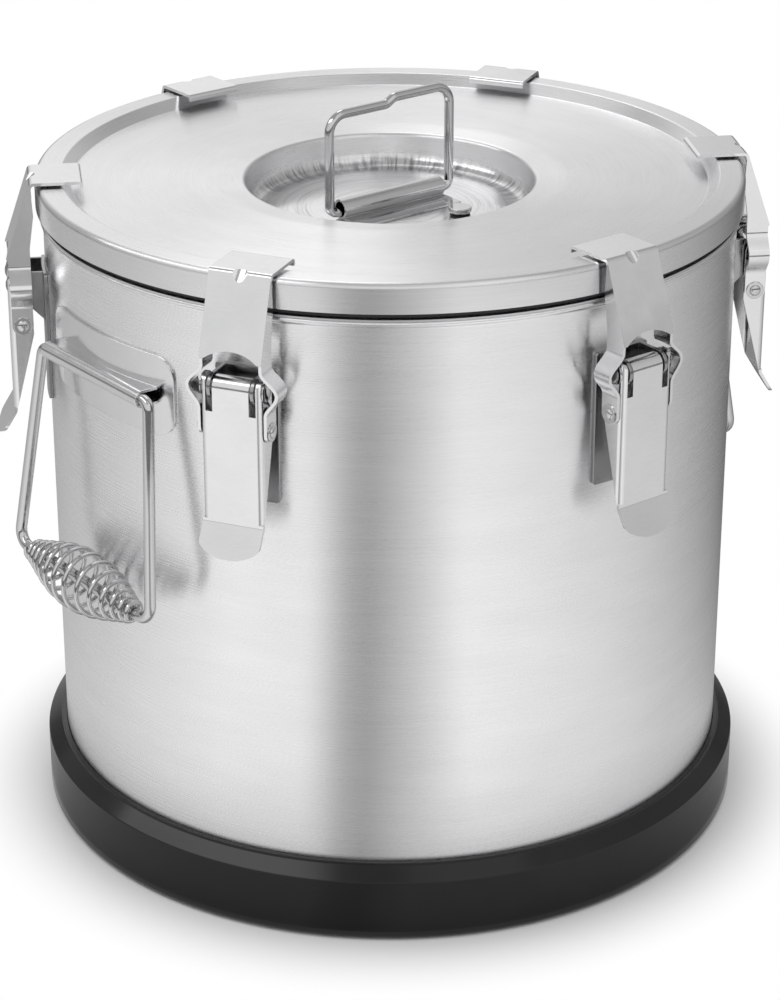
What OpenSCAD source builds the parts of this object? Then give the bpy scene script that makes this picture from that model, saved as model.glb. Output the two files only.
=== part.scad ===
// Round insulated food container: double-walled body, lift-off lid held by six
// toggle latches, two hanging bails with spring grips, black base ring.
// The axis is Z, the floor is Z = 0, and the bails hang on the -X and +X sides.

/* [Body] */
// Outside diameter of the outer shell
body_d = 363; // [340:1:400]
// Height of the mouth above the floor
mouth_h = 335.5; // [300:0.5:420]
// Sheet thickness of the outer shell
shell_wall = 1.2; // [0.8:0.1:2]
// Radius of the rolled bead under the mouth
bead_r = 1.6; // [1:0.1:2.5]
// Distance from the shell's outside to the vessel's inside
wall_t = 31.5; // [20:0.5:45]
// Sheet thickness of the food vessel
vessel_wall = 1; // [0.6:0.1:1.5]
// Height of the vessel floor above the ground
vessel_floor_h = 54; // [45:1:80]
// Inside radius between the vessel floor and wall
vessel_corner_r = 18; // [6:1:30]
// Height of the turned-up edge of the bottom pan
pan_edge_h = 12; // [6:1:20]

/* [Base ring] */
// Reach of the base ring beyond the shell
ring_out = 10.5; // [7:0.5:20]
// Height of the upright band of the ring
ring_band_h = 34; // [26:1:45]
// Rise of the sloped top of the ring
ring_slope_h = 6; // [3:0.5:10]
// Width of the narrow collar beside the shell
ring_collar_w = 3; // [2:0.5:5]
// Step up from the slope to the collar
ring_collar_h = 1.3; // [0.5:0.1:3]
// Thickness of the ring's floor
ring_floor_t = 6; // [4:0.5:10]
// Width of the ring's floor
ring_floor_w = 47; // [25:1:80]
// Rounding of the lower outer edge
ring_edge_r = 4; // [1:0.5:6]

/* [Lid] */
// Reach of the lid's edge beyond the shell
lid_out = 3.5; // [3:0.1:8]
// Height of the lid's edge from its lower end to the rim top
lid_edge_h = 15; // [10:0.5:25]
// Gap between the mouth and the lid's edge, filled by the gasket
lid_gap = 3.5; // [2:0.1:6]
// Sheet thickness of the lid's cover and liner
lid_sheet = 1; // [0.6:0.1:1.5]
// Rounding of the lid's outer top edge
lid_edge_r = 3; // [1:0.5:5]
// Width of the raised rim, from the lid's outside to the top of its inner slope
rim_w = 13.5; // [10:0.5:18]
// Drop from the rim to the disc, over a slope of 45 degrees
rim_drop = 5.5; // [3:0.5:8]
// Diameter of the bowl in the lid
bowl_d = 149; // [120:1:200]
// Depth of the bowl below the disc
bowl_depth = 18; // [10:0.5:18]
// Rounding of the bowl's edge and foot
bowl_edge_r = 8; // [2:0.5:9]
// Slant of the bowl's wall, measured across its depth
bowl_slant = 4; // [4:0.5:12]
// Depth of the plug that enters the mouth
plug_depth = 12; // [8:0.5:12]
// Clearance between the plug and the vessel wall
plug_gap = 2; // [1:0.5:4]
// Inward step of the gasket from the lid's edge
gasket_inset = 2.5; // [1:0.5:6]

/* [Lid handle] */
// Wire diameter of the lid handle
lift_wire_d = 5; // [4:0.5:6]
// Distance between the two legs
lift_w = 79; // [64:1:95]
// Height of the taller leg above the hinge
lift_h = 55; // [35:1:60]
// Step between the two halves of the handle's top
lift_jog = 3; // [2:0.5:6]
// Outside bend radius of the handle's upper corners
lift_bend_r = 12; // [6:0.5:14]
// Outside bend radius of the handle's lower corners
lift_foot_r = 6.5; // [6:0.5:10]
// Direction of the hinge bar around the axis, in degrees
lift_angle = 0; // [0:1:20]
// Sheet thickness of the hinge clip
clip_t = 1.2; // [0.8:0.1:2]
// Inside diameter of the hinge clip's roll
clip_in_d = 8; // [7:0.5:10]
// Gap between the clip's ends and the handle's lower corners
clip_end_gap = 2.5; // [1:0.5:14]
// Width of the clip's flange on the bowl floor
clip_flange_w = 14; // [8:1:20]

/* [Vent] */
// Diameter of the vent cap
vent_cap_d = 12; // [9:0.5:16]
// Height of the vent cap's head
vent_cap_h = 4; // [3:0.5:7]
// Diameter of the vent stem
vent_stem_d = 6; // [4:0.5:8]
// Distance of the vent from the lid's axis
vent_offset = 42; // [40:1:56]
// Direction of the vent around the axis, in degrees
vent_angle = -68; // [-100:1:-60]
// Thickness of the bushing's flange and of the nut
vent_flange_t = 2; // [1.5:0.5:4]

/* [Latches] */
// Direction of the first latch around the axis, in degrees
latch_first = 30; // [20:1:40]
// Distance of the lever pin from the shell
pin_out = 14.5; // [13:0.5:18]
// Distance of the lever pin below the rim top
pin_drop = 53; // [52:1:80]
// Diameter of the lever pin
pin_d = 8; // [6:0.5:8]
// Diameter of the pin's heads
pin_head_d = 10; // [9:0.5:11]
// Width of the lever
lever_w = 32; // [28:1:40]
// Sheet thickness of the lever, ears and hook
latch_t = 1.6; // [1.2:0.1:2]
// Height of the lever below its pin, down to the bend
lever_drop = 69; // [50:1:75]
// Height of the finger tab
tab_drop = 15; // [10:1:20]
// Outward flare of the finger tab
tab_flare = 9; // [4:0.5:12]
// Width of the tongue that is rolled around the pin
tongue_w = 19; // [14:1:20]
// Width of the slots beside the tongue
slot_w = 3.6; // [3:0.1:4]
// Depth of the slots below the pin
slot_drop = 11.5; // [10:0.5:14]
// Drop from the lever pin to the hook rivets
toggle_drop = 20.5; // [18:0.5:24]
// Inward step from the lever pin to the hook rivets
toggle_in = 1.3; // [0.5:0.1:2]
// Shank diameter of the hook rivets
rivet_d = 4.5; // [3.5:0.5:5]
// Head diameter of the hook rivets
rivet_head_d = 9.5; // [7:0.5:10.5]
// Head thickness of the hook rivets
rivet_head_t = 2; // [1:0.1:3]
// Diameter of the rivets' inner heads
rivet_foot_d = 7.5; // [6:0.5:9]
// Thickness of the rivets' inner heads
rivet_foot_t = 1.5; // [1:0.1:1.8]
// Clearance under the hook's flat
hook_rest = 1; // [0.8:0.1:1.5]
// Depth of the hook's lip below the rim top
lip_depth = 1; // [0.5:0.1:1.2]
// Inward step from the top of the rim's slope to the hook's lip
lip_gap = 9.5; // [9:0.5:12]
// Width of the hook's arms
arm_w = 11; // [9:0.5:12]
// Outward bow of the arms around the pin heads
arm_bow = 6; // [3:0.1:7]
// Height of the arched edge of the hook's plate above the pin
plate_rise = 14.5; // [10:0.5:16]
// Rise of the arch in the edge of the hook's plate
plate_arch = 5; // [2:0.5:7]
// Inward step from the hook's eyes to the sides of its plate
plate_narrow = 2; // [0:0.5:3]
// Width of the base plate on the shell
base_w = 33; // [30:1:44]
// Thickness of the base plate and its ears
base_t = 2; // [1.2:0.1:2.2]
// Height of the base plate below the lever pin
base_drop = 63; // [40:1:65]

/* [Bails] */
// Wire diameter of the bails
bail_wire_d = 6; // [5:0.5:8]
// Distance between a bail's two legs at the grip
bail_w = 123; // [112:1:135]
// Distance between a bail's two legs at the hinge
bail_top_w = 96; // [84:1:110]
// Drop from the bail's hinge to the grip
bail_drop = 111; // [100:1:130]
// Inside bend radius of the bail's lower corners
bail_bend_r = 5; // [4:0.5:8]
// Inside bend radius of the bail's upper corners
bail_top_bend_r = 2; // [1:0.5:5]
// Depth of the bail's hinge below the mouth
bail_hinge_drop = 54; // [40:0.5:80]
// Width of the bracket plate around the shell
bracket_w = 107; // [70:1:120]
// Height of the bracket plate
bracket_h = 42; // [30:1:60]
// Sheet thickness of the bracket
bracket_t = 1.5; // [1:0.1:2.5]
// Gap between the ends of the bracket's tunnel and the bail's corners
tunnel_end_gap = 0.6; // [0.5:0.1:8]
// Wire diameter of the spring grip
grip_wire_d = 2.6; // [2:0.1:3.4]
// Bare length of the bar at each end of the spring grip
grip_slack = 4; // [2:0.5:12]
// Number of curls of the spring grip
grip_curls = 13; // [10:1:16]
// Outside diameter of the grip at its middle
grip_d = 33; // [26:1:38]

/* [Hidden] */

$fn = 96;
// Gap between fixed pieces that are welded or pressed together
seam = 0.05;
// Gap between foam and the sheets around it
foam_gap = 0.3;
// Radial clearance of a running fit
run_gap = 0.06;
// Gap between moving pieces that pass each other
pass_gap = 0.5;
// Overlap that joins two shapes of one piece, and the overshoot of a cut
bite = 0.5;
// Thinning of a wire's bends under the straight runs that lap over them
bend_thin = 0.15;
// Straight steps along a quarter bend
bend_steps = 6;
// Steps around the section of a wire or bead
wire_sides = 32;
// Steps around pins, eyes and tunnels
eye_sides = 48;
// Bend radius of thin sheet edges
sheet_bend_r = 1.5;
// Number of latches
latch_count = 6;

body_r = body_d / 2;
vessel_r = body_r - wall_t;
ring_r = body_r + ring_out;
ring_floor_r = ring_r - ring_floor_w;
lid_r = body_r + lid_out;
shell_in_r = body_r - shell_wall;
flange_r = body_r + bead_r;

skirt_z = mouth_h + lid_gap;
lid_top = skirt_z + lid_edge_h;
disc_z = lid_top - rim_drop;
bowl_floor_z = disc_z - bowl_depth;
rim_in_r = lid_r - rim_w;
plug_r = vessel_r - plug_gap;
plug_z = mouth_h - plug_depth;
liner_r = lid_r - lid_sheet - seam;
gasket_r = lid_r - gasket_inset;

pin_r = body_r + pin_out;
pin_z = lid_top - pin_drop;
lever_out = pin_d / 2 + run_gap + latch_t;
flange_half = lever_w / 2;
ear_lap = 2.5;
ear_r = pin_d / 2 + ear_lap;
ear_in = tongue_w / 2 + (slot_w - base_t) / 2;
rivet_pos_r = pin_r - toggle_in;
rivet_pos_z = pin_z - toggle_drop;
pin_head_t = 1;
pin_head_out = flange_half + run_gap + pin_head_t;
eye_in = flange_half + pass_gap;
plate_in = eye_in - plate_narrow;
hook_w = 2 * (plate_in + latch_t);
arm_in_r = rivet_pos_r - arm_w / 2;
lip_r = rim_in_r - lip_gap;
hook_under_z = lid_top + hook_rest;
hook_side_gap = 1.6;
hook_bend_r = lid_r + hook_side_gap;
plate_low_z = pin_z + plate_rise;
plate_low_r = pin_r + lever_out - latch_t;

bail_wire_r = bail_wire_d / 2;
bail_hinge_r = body_r + seam + bracket_t + bail_wire_r + foam_gap;
bail_hinge_z = mouth_h - bail_hinge_drop;
grip_hang_r = body_r + grip_d / 2 + pass_gap;
bail_lean = asin((grip_hang_r - bail_hinge_r) / bail_drop);
bail_splay = atan((bail_w - bail_top_w) / 2 / bail_drop);
bail_top_r = bail_top_bend_r + bail_wire_r;
bail_foot_r = bail_bend_r + bail_wire_r;
bail_top_half = bail_top_w / 2 - bail_top_r * tan((90 - bail_splay) / 2);
bail_foot_half = bail_w / 2 - bail_foot_r * tan((90 + bail_splay) / 2);
tunnel_len = 2 * (bail_top_half - tunnel_end_gap);
grip_len = 2 * (bail_foot_half - grip_slack);

lift_wire_r = lift_wire_d / 2;
clip_len = lift_w - 2 * (lift_foot_r - lift_wire_r + clip_end_gap);
clip_z = bowl_floor_z + seam + clip_t + clip_in_d / 2;
lift_z = bowl_floor_z + seam + clip_t + foam_gap + lift_wire_r;

vent_wall = 1.5;
vent_seal_t = 1;
vent_hole_d = vent_stem_d + 2 * vent_wall + 2 * seam;
vent_bush_d = vent_hole_d - 2 * seam;
vent_foot_z = plug_z - seam;
vent_seat_z = bowl_floor_z + seam;
vent_cap_z = vent_seat_z + vent_flange_t + vent_seal_t;
vent_x = vent_offset * cos(vent_angle);
vent_y = vent_offset * sin(vent_angle);

// Outlines in the plane of the radius and the height
function unit(v) = v / norm(v);
function left_normal(a, b) = let(d = unit(b - a)) [-d[1], d[0]];
function turned(a) = a > 180 ? a - 360 : a < -180 ? a + 360 : a;
function arc(c, r, a0, a1, n = bend_steps) =
    [for (i = [0:n]) c + r * [cos(a0 + (a1 - a0) * i / n), sin(a0 + (a1 - a0) * i / n)]];
function flat2(p) = [p[0], p[1]];
function bend_at(a, b, c, r) =
    r <= 0 ? [b] :
    let(
        u = unit(a - b),
        v = unit(c - b),
        half = acos(u * v) / 2,
        centre = b + unit(u + v) * r / sin(half),
        p0 = b + u * r / tan(half) - centre,
        p1 = b + v * r / tan(half) - centre,
        a0 = atan2(p0[1], p0[0]),
        sweep = turned(atan2(p1[1], p1[0]) - a0)
    )
    arc(centre, r, a0, a0 + sweep);
// Open path through points [x, y, bend radius], with its corners bent
function bent_path(pts) = [
    for (i = [0:len(pts) - 1])
        each i == 0 || i == len(pts) - 1 ? [flat2(pts[i])] :
            bend_at(flat2(pts[i - 1]), flat2(pts[i]), flat2(pts[i + 1]), pts[i][2])
];
// Closed outline through points [x, y, bend radius]
function bent_loop(pts) = [
    for (i = [0:len(pts) - 1])
        each bend_at(flat2(pts[(i + len(pts) - 1) % len(pts)]), flat2(pts[i]),
            flat2(pts[(i + 1) % len(pts)]), pts[i][2])
];
function side_step(path, t) = [
    for (i = [0:len(path) - 1])
        let(
            n0 = left_normal(path[max(i - 1, 0)], path[max(i, 1)]),
            n1 = i < len(path) - 1 ? left_normal(path[i], path[i + 1]) : n0,
            m = unit(n0 + n1)
        )
        path[i] + m * t / (m * n0)
];
function backwards(l) = [for (i = [len(l) - 1:-1:0]) l[i]];
// Bent sheet of thickness t on the left side of a path
function sheet(path, t) = concat(path, backwards(side_step(path, t)));

// Shapes that several pieces share
module across(w) {
    rotate([90, 0, 0]) linear_extrude(height = w, center = true) children();
}
module outward(from, to) {
    translate([from, 0, 0]) rotate([90, 0, 90]) linear_extrude(height = to - from) children();
}
module cross_pin(r, z, d, from, to) {
    translate([r, from, z]) rotate([-90, 0, 0]) cylinder(d = d, h = to - from);
}
module at_latch(i) {
    rotate([0, 0, latch_first + (i - 1) * 360 / latch_count]) children();
}
module both_sides() {
    children();
    mirror([0, 1, 0]) children();
}
module tube(r_out, r_in, z0, z1) {
    translate([0, 0, z0]) difference() {
        cylinder(r = r_out, h = z1 - z0);
        translate([0, 0, -bite]) cylinder(r = r_in, h = z1 - z0 + 2 * bite);
    }
}
module round_rect(w, h, r) {
    square([w - 2 * r, h], center = true);
    square([w, h - 2 * r], center = true);
    for (x = [-1, 1], y = [-1, 1])
        translate([x * (w / 2 - r), y * (h / 2 - r)]) circle(r = r);
}
module vent_place() {
    translate([vent_x, vent_y, 0]) children();
}

// Body
module outer_shell() {
    color("silver") rotate_extrude() {
        translate([shell_in_r, ring_floor_t + seam])
            square([shell_wall, mouth_h - vessel_wall - bead_r - ring_floor_t - seam]);
        difference() {
            translate([body_r, mouth_h - vessel_wall - bead_r - seam]) circle(r = bead_r, $fn = wire_sides);
            translate([shell_in_r - 2 * bead_r, 0]) square([2 * bead_r, mouth_h]);
        }
    }
}

function vessel_path() = bent_path([
    [0, vessel_floor_h, 0],
    [vessel_r, vessel_floor_h, vessel_corner_r],
    [vessel_r, mouth_h, bead_r],
    [flange_r, mouth_h, 0]
]);

module inner_vessel() {
    color("gainsboro") rotate_extrude() polygon(sheet(vessel_path(), -vessel_wall));
}

pan_z = ring_floor_t + seam;
pan_r = shell_in_r - seam;

module shell_bottom() {
    color("silver") rotate_extrude() polygon(sheet([
        [0, pan_z], [pan_r, pan_z], [pan_r, pan_z + pan_edge_h]
    ], shell_wall));
}

module body_insulation() {
    foam_r = pan_r - shell_wall - foam_gap;
    foam_low = pan_z + shell_wall + foam_gap;
    foam_high = mouth_h - vessel_wall - 2 * bead_r;
    vessel_side = side_step(vessel_path(), -vessel_wall - foam_gap);
    wall_side = [for (p = vessel_side) if (p[1] < foam_high) p];
    color("khaki") rotate_extrude() polygon(concat(
        [[0, foam_low], [foam_r, foam_low], [foam_r, foam_high]],
        [[vessel_r + vessel_wall + foam_gap, foam_high]],
        backwards(wall_side)
    ));
}

module base_ring() {
    collar_r = body_r + ring_collar_w;
    slope_z = ring_band_h + ring_slope_h;
    corner_r = 1;
    color([0.1, 0.1, 0.1]) rotate_extrude() polygon(bent_loop([
        [ring_floor_r, 0, 0],
        [ring_r, 0, ring_edge_r],
        [ring_r, ring_band_h, corner_r],
        [collar_r, slope_z, 0],
        [collar_r, slope_z + ring_collar_h, corner_r / 2],
        [body_r + foam_gap, slope_z + ring_collar_h, 0],
        [body_r + foam_gap, ring_floor_t, 0],
        [ring_floor_r, ring_floor_t, corner_r]
    ]));
}

// Latches, drawn with the radius along X
module latch_base(i) {
    plate_r = body_r + seam;
    plate_low = pin_z - base_drop;
    plate_high = pin_z + ear_r;
    color("lightgray") at_latch(i) {
        intersection() {
            tube(plate_r + base_t, plate_r, plate_low, plate_high);
            outward(body_r - base_w, pin_r) translate([0, (plate_low + plate_high) / 2])
                round_rect(base_w, plate_high - plate_low, base_t);
        }
        both_sides() difference() {
            translate([0, ear_in + base_t / 2, 0]) across(base_t) {
                polygon([
                    [plate_r + base_t / 2, pin_z - toggle_drop],
                    [pin_r, pin_z - ear_r],
                    [pin_r, pin_z + ear_r],
                    [plate_r + base_t / 2, pin_z + ear_r]
                ]);
                translate([pin_r, pin_z]) circle(r = ear_r, $fn = eye_sides);
            }
            cross_pin(pin_r, pin_z, pin_d + 2 * seam, 0, lever_w);
        }
    }
}

module lever_pins() {
    color("gainsboro") for (i = [1:latch_count]) at_latch(i) {
        cross_pin(pin_r, pin_z, pin_d, -pin_head_out, pin_head_out);
        both_sides() cross_pin(pin_r, pin_z, pin_head_d, pin_head_out - pin_head_t, pin_head_out);
    }
}

// U-shaped section of the lever, open towards the shell
module lever_section() {
    bend_r = 2 * latch_t;
    depth = 2 * pin_out;
    translate([pin_r + lever_out - depth / 2, 0]) difference() {
        round_rect(depth, lever_w, bend_r);
        translate([-latch_t, 0]) round_rect(depth, lever_w - 2 * latch_t, bend_r - latch_t);
    }
}

module lever_side() {
    flange_in = arm_w / 2;
    circle(r = ear_r, $fn = eye_sides);
    polygon(bent_loop([
        [-ear_r, 0, 0],
        [lever_out + bite, 0, 0],
        [lever_out + bite, -lever_drop, 0],
        [lever_out - latch_t, -lever_drop, 0],
        [-flange_in - toggle_in, -toggle_drop - flange_in, 3 * latch_t]
    ]));
}

module finger_tab() {
    tab_low = -lever_drop - tab_drop;
    intersection() {
        across(lever_w) polygon(sheet(bent_path([
            [lever_out, -lever_drop + latch_t, 0],
            [lever_out, -lever_drop, latch_t / 2],
            [lever_out + tab_flare, tab_low, 0]
        ]), -latch_t));
        outward(0, lever_out + 2 * tab_flare) polygon(bent_loop([
            [-flange_half, -lever_drop + lever_w, 0],
            [-flange_half, tab_low + tab_drop / 3, tab_drop / 4],
            [-flange_half / 2, tab_low, 0],
            [flange_half / 2, tab_low, 0],
            [flange_half, tab_low + tab_drop / 3, tab_drop / 4],
            [flange_half, -lever_drop + lever_w, 0]
        ]));
    }
}

module latch_lever(i) {
    slots_w = tongue_w + 2 * slot_w;
    color("gainsboro") at_latch(i) difference() {
        union() {
            difference() {
                intersection() {
                    translate([0, 0, pin_z - lever_drop]) linear_extrude(height = lever_drop + ear_r)
                        lever_section();
                    translate([pin_r, 0, pin_z]) across(lever_w + 2 * bite) lever_side();
                }
                translate([pin_r, -slots_w / 2, pin_z]) cube([2 * lever_out, slots_w, 2 * lever_out]);
                both_sides() translate([pin_r, tongue_w / 2, pin_z - slot_drop])
                    cube([2 * lever_out, slot_w, slot_drop + bite]);
            }
            translate([pin_r, 0, pin_z]) {
                finger_tab();
                across(tongue_w) circle(r = lever_out, $fn = eye_sides);
            }
        }
        cross_pin(pin_r, pin_z, pin_d + 2 * run_gap, -lever_w, lever_w);
        cross_pin(rivet_pos_r, rivet_pos_z, rivet_d + 2 * run_gap, -lever_w, lever_w);
    }
}

module hook_rivets(i) {
    foot_face = flange_half - latch_t - run_gap;
    head_face = eye_in + latch_t + run_gap;
    color("silver") at_latch(i) both_sides() {
        cross_pin(rivet_pos_r, rivet_pos_z, rivet_d, foot_face - bite, head_face + bite);
        cross_pin(rivet_pos_r, rivet_pos_z, rivet_head_d, head_face, head_face + rivet_head_t);
        cross_pin(rivet_pos_r, rivet_pos_z, rivet_foot_d, foot_face - rivet_foot_t, foot_face);
    }
}

// Distance of an arm's inner face from the latch's middle, at a height above the rivet
bow_half = 11;
function arm_face(h) =
    let(x = (h - toggle_drop) / bow_half, side = x < 0 ? eye_in : plate_in, full = eye_in + arm_bow)
    side + (abs(x) < 1 ? (full - side) * (1 + cos(180 * x)) / 2 : 0);

module hook_arms() {
    arm_top = hook_under_z - rivet_pos_z;
    eye_r = arm_w / 2;
    arm_steps = 36;
    heights = [for (k = [0:arm_steps]) -2 * eye_r + (2 * toggle_drop + 2 * eye_r) * k / arm_steps];
    faces = concat([for (h = heights) [arm_face(h), h]], [[plate_in, arm_top]]);
    intersection() {
        across(4 * eye_in) {
            polygon([
                [hook_bend_r + latch_t / 2, hook_under_z - latch_t],
                [plate_low_r + latch_t / 2, plate_low_z],
                [rivet_pos_r + eye_r, pin_z],
                [rivet_pos_r + eye_r, rivet_pos_z],
                [arm_in_r, rivet_pos_z],
                [arm_in_r, pin_z + toggle_drop],
                [hook_bend_r, skirt_z]
            ]);
            translate([rivet_pos_r, rivet_pos_z]) circle(r = eye_r, $fn = eye_sides);
        }
        both_sides() translate([0, 0, rivet_pos_z]) outward(body_r, lid_r + 2 * lid_edge_h)
            polygon(sheet(faces, -latch_t));
    }
}

// Dent pressed into the hook's bend to stiffen it
module bend_dent(r) {
    dent_r = 5;
    dent_depth = 2.6;
    corner_r = hook_bend_r + latch_t;
    corner_z = hook_under_z + latch_t;
    step = (dent_r - dent_depth) / sqrt(2);
    translate([corner_r + step, 0, corner_z + step]) rotate([0, 135, 0])
        cylinder(r = dent_r + r, h = 6 * dent_r, center = true, $fn = eye_sides);
}

module latch_hook(i) {
    arch_half = hook_w / 2 - latch_t;
    arch_r = (arch_half * arch_half + plate_arch * plate_arch) / (2 * plate_arch);
    gusset = 4;
    lip_bend_r = 0.6;
    edge_bend_r = 1.2;
    color("whitesmoke") at_latch(i) difference() {
        union() {
            difference() {
                across(hook_w) polygon(sheet(bent_path([
                    [lip_r, lid_top - lip_depth, 0],
                    [lip_r, hook_under_z, lip_bend_r],
                    [hook_bend_r, hook_under_z, edge_bend_r],
                    [plate_low_r, plate_low_z, 0]
                ]), latch_t));
                outward(hook_bend_r, lid_r + 2 * lid_edge_h)
                    translate([0, plate_low_z + plate_arch - arch_r]) circle(r = arch_r);
            }
            hook_arms();
            intersection() {
                bend_dent(latch_t);
                translate([hook_bend_r - gusset, -gusset * 2, hook_under_z - gusset])
                    cube([gusset + latch_t / 2, gusset * 4, gusset + latch_t / 2]);
            }
        }
        bend_dent(0);
        cross_pin(rivet_pos_r, rivet_pos_z, rivet_d + 2 * run_gap, -hook_w, hook_w);
    }
}

// Bails and their brackets, drawn on the +X side
module handle_bracket() {
    plate_r = body_r + seam;
    tunnel_in_r = bail_wire_r + run_gap;
    tunnel_r = tunnel_in_r + bracket_t;
    reach = tunnel_len / 4;
    color("lightgray") difference() {
        union() {
            intersection() {
                tube(plate_r + bracket_t, plate_r, bail_hinge_z - bracket_h, bail_hinge_z + bracket_h);
                outward(0, lid_r) translate([0, bail_hinge_z])
                    round_rect(bracket_w, bracket_h, 2 * bail_wire_d);
            }
            across(tunnel_len) {
                translate([bail_hinge_r, bail_hinge_z]) circle(r = tunnel_r, $fn = eye_sides);
                translate([body_r - reach, bail_hinge_z - tunnel_r])
                    square([bail_hinge_r - body_r + reach, 2 * tunnel_r]);
            }
        }
        difference() {
            across(tunnel_len + 2 * bite) {
                translate([bail_hinge_r, bail_hinge_z]) circle(r = tunnel_in_r, $fn = eye_sides);
                translate([body_r - reach, bail_hinge_z - tunnel_in_r])
                    square([bail_hinge_r - body_r + reach, 2 * tunnel_in_r]);
            }
            cylinder(r = plate_r + bracket_t, h = mouth_h);
        }
        cylinder(r = plate_r, h = mouth_h);
    }
}

// Wire in the plane of Y and Z: straight runs that lap over the bends at their ends
module wire_run(y0, z0, y1, z1, wire_r) {
    run = [0, y1 - y0, z1 - z0];
    translate([0, y0, z0]) rotate([-atan2(run[1], run[2]), 0, 0]) translate([0, 0, -bite])
        cylinder(r = wire_r, h = norm(run) + 2 * bite, $fn = wire_sides);
}
module wire_bend(y, z, r, a0, sweep, wire_r) {
    translate([0, y, z]) rotate([90, 0, 90]) rotate([0, 0, a0])
        rotate_extrude(angle = sweep) translate([r, 0]) circle(r = wire_r - bend_thin, $fn = wire_sides);
}

module at_bail() {
    translate([bail_hinge_r, 0, bail_hinge_z]) rotate([0, -bail_lean, 0]) children();
}

module bail() {
    leg_side = [cos(bail_splay), sin(bail_splay)];
    leg_top = [bail_top_half, -bail_top_r] + bail_top_r * leg_side;
    leg_low = [bail_foot_half, bail_foot_r - bail_drop] + bail_foot_r * leg_side;
    color("gainsboro") at_bail() {
        wire_run(-bail_top_half, 0, bail_top_half, 0, bail_wire_r);
        wire_run(-bail_foot_half, -bail_drop, bail_foot_half, -bail_drop, bail_wire_r);
        both_sides() {
            wire_run(leg_top[0], leg_top[1], leg_low[0], leg_low[1], bail_wire_r);
            wire_bend(bail_top_half, -bail_top_r, bail_top_r, bail_splay, 90 - bail_splay, bail_wire_r);
            wire_bend(bail_foot_half, bail_foot_r - bail_drop, bail_foot_r, -90, 90 + bail_splay, bail_wire_r);
        }
    }
}

// Spring grip: one wire wound around the bail's lower bar, wider at its middle
grip_wire_r = grip_wire_d / 2;
grip_sides = 6;
curl_rings = 8;
grip_end_r = (bail_wire_r + grip_wire_r + foam_gap) / cos(180 / curl_rings);
grip_mid_r = grip_d / 2 - grip_wire_r;
grip_rings = grip_curls * curl_rings;
grip_fullness = 1.25;
grip_spread = 0.38;
grip_end_slant = 0.15;
// Place along the bar, as a share of the grip's length, with the curls closer at both ends
function grip_place(u) = u - 0.5 - grip_spread * sin(360 * u) / (2 * PI);
function grip_coil_r(v) = grip_end_r + (grip_mid_r - grip_end_r) * pow(max(cos(180 * v), 0), grip_fullness);
function grip_point(u) =
    let(v = grip_place(u), r = grip_coil_r(v), a = 360 * grip_curls * u)
    [r * cos(a), (grip_len - grip_wire_d) * v, r * sin(a)];
grip_turns = [for (k = [0:grip_rings]) grip_point(k / grip_rings)];
grip_first_dir = unit([0, -grip_end_slant, -1]);
grip_path = concat(
    [grip_turns[0] + grip_wire_d * grip_first_dir],
    grip_turns,
    [grip_turns[grip_rings] - grip_wire_d * grip_first_dir]
);
grip_last = len(grip_path) - 1;
function grip_heading(i) = unit(grip_path[min(i + 1, grip_last)] - grip_path[max(i - 1, 0)]);
// Ring of the wire's skin around one point of its path, set out from the bar's direction
function grip_ring(i) =
    let(h = grip_heading(i), s = unit(cross(h, [0, 1, 0])), t = cross(s, h))
    [for (k = [0:grip_sides - 1])
        grip_path[i] + grip_wire_r * (s * cos(360 * k / grip_sides) + t * sin(360 * k / grip_sides))];
function grip_faces() = concat(
    [for (i = [0:grip_last - 1], k = [0:grip_sides - 1])
        let(a = i * grip_sides + k, b = i * grip_sides + (k + 1) % grip_sides)
        each [[a, a + grip_sides, b], [b, a + grip_sides, b + grip_sides]]],
    [for (k = [1:grip_sides - 2]) [0, k, k + 1]],
    [for (k = [1:grip_sides - 2])
        [grip_last * grip_sides, grip_last * grip_sides + k + 1, grip_last * grip_sides + k]]
);
grip_self_gap = min([
    for (i = [0:grip_last], j = [i + curl_rings / 2:1:grip_last])
        norm(grip_path[i] - grip_path[j])
]) - grip_wire_d;
echo(grip_self_gap = grip_self_gap);

module spring_grip() {
    color("silver") at_bail() translate([0, 0, -bail_drop])
        polyhedron(
            points = [for (i = [0:grip_last]) each grip_ring(i)],
            faces = grip_faces(),
            convexity = grip_curls
        );
}

module left_side() {
    mirror([1, 0, 0]) children();
}

// Lid
function cover_path() = bent_path([
    [lid_r, skirt_z, 0],
    [lid_r, lid_top, lid_edge_r],
    [rim_in_r, lid_top, sheet_bend_r],
    [rim_in_r - rim_drop, disc_z, sheet_bend_r],
    [bowl_d / 2 + bowl_slant / 2, disc_z, bowl_edge_r],
    [bowl_d / 2 - bowl_slant / 2, bowl_floor_z, bowl_edge_r],
    [0, bowl_floor_z, 0]
]);

module lid_cover() {
    color("lightgray") difference() {
        rotate_extrude() polygon(sheet(cover_path(), lid_sheet));
        vent_place() translate([0, 0, plug_z]) cylinder(d = vent_hole_d, h = lid_top - plug_z);
    }
}

function liner_path() = bent_path([
    [liner_r, skirt_z, 0],
    [plug_r, skirt_z, sheet_bend_r],
    [plug_r, plug_z, 2 * sheet_bend_r],
    [0, plug_z, 0]
]);

module lid_liner() {
    color("gainsboro") difference() {
        rotate_extrude() polygon(sheet(liner_path(), -lid_sheet));
        vent_place() translate([0, 0, plug_z - bite]) cylinder(d = vent_hole_d, h = lid_top - plug_z);
    }
}

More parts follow.
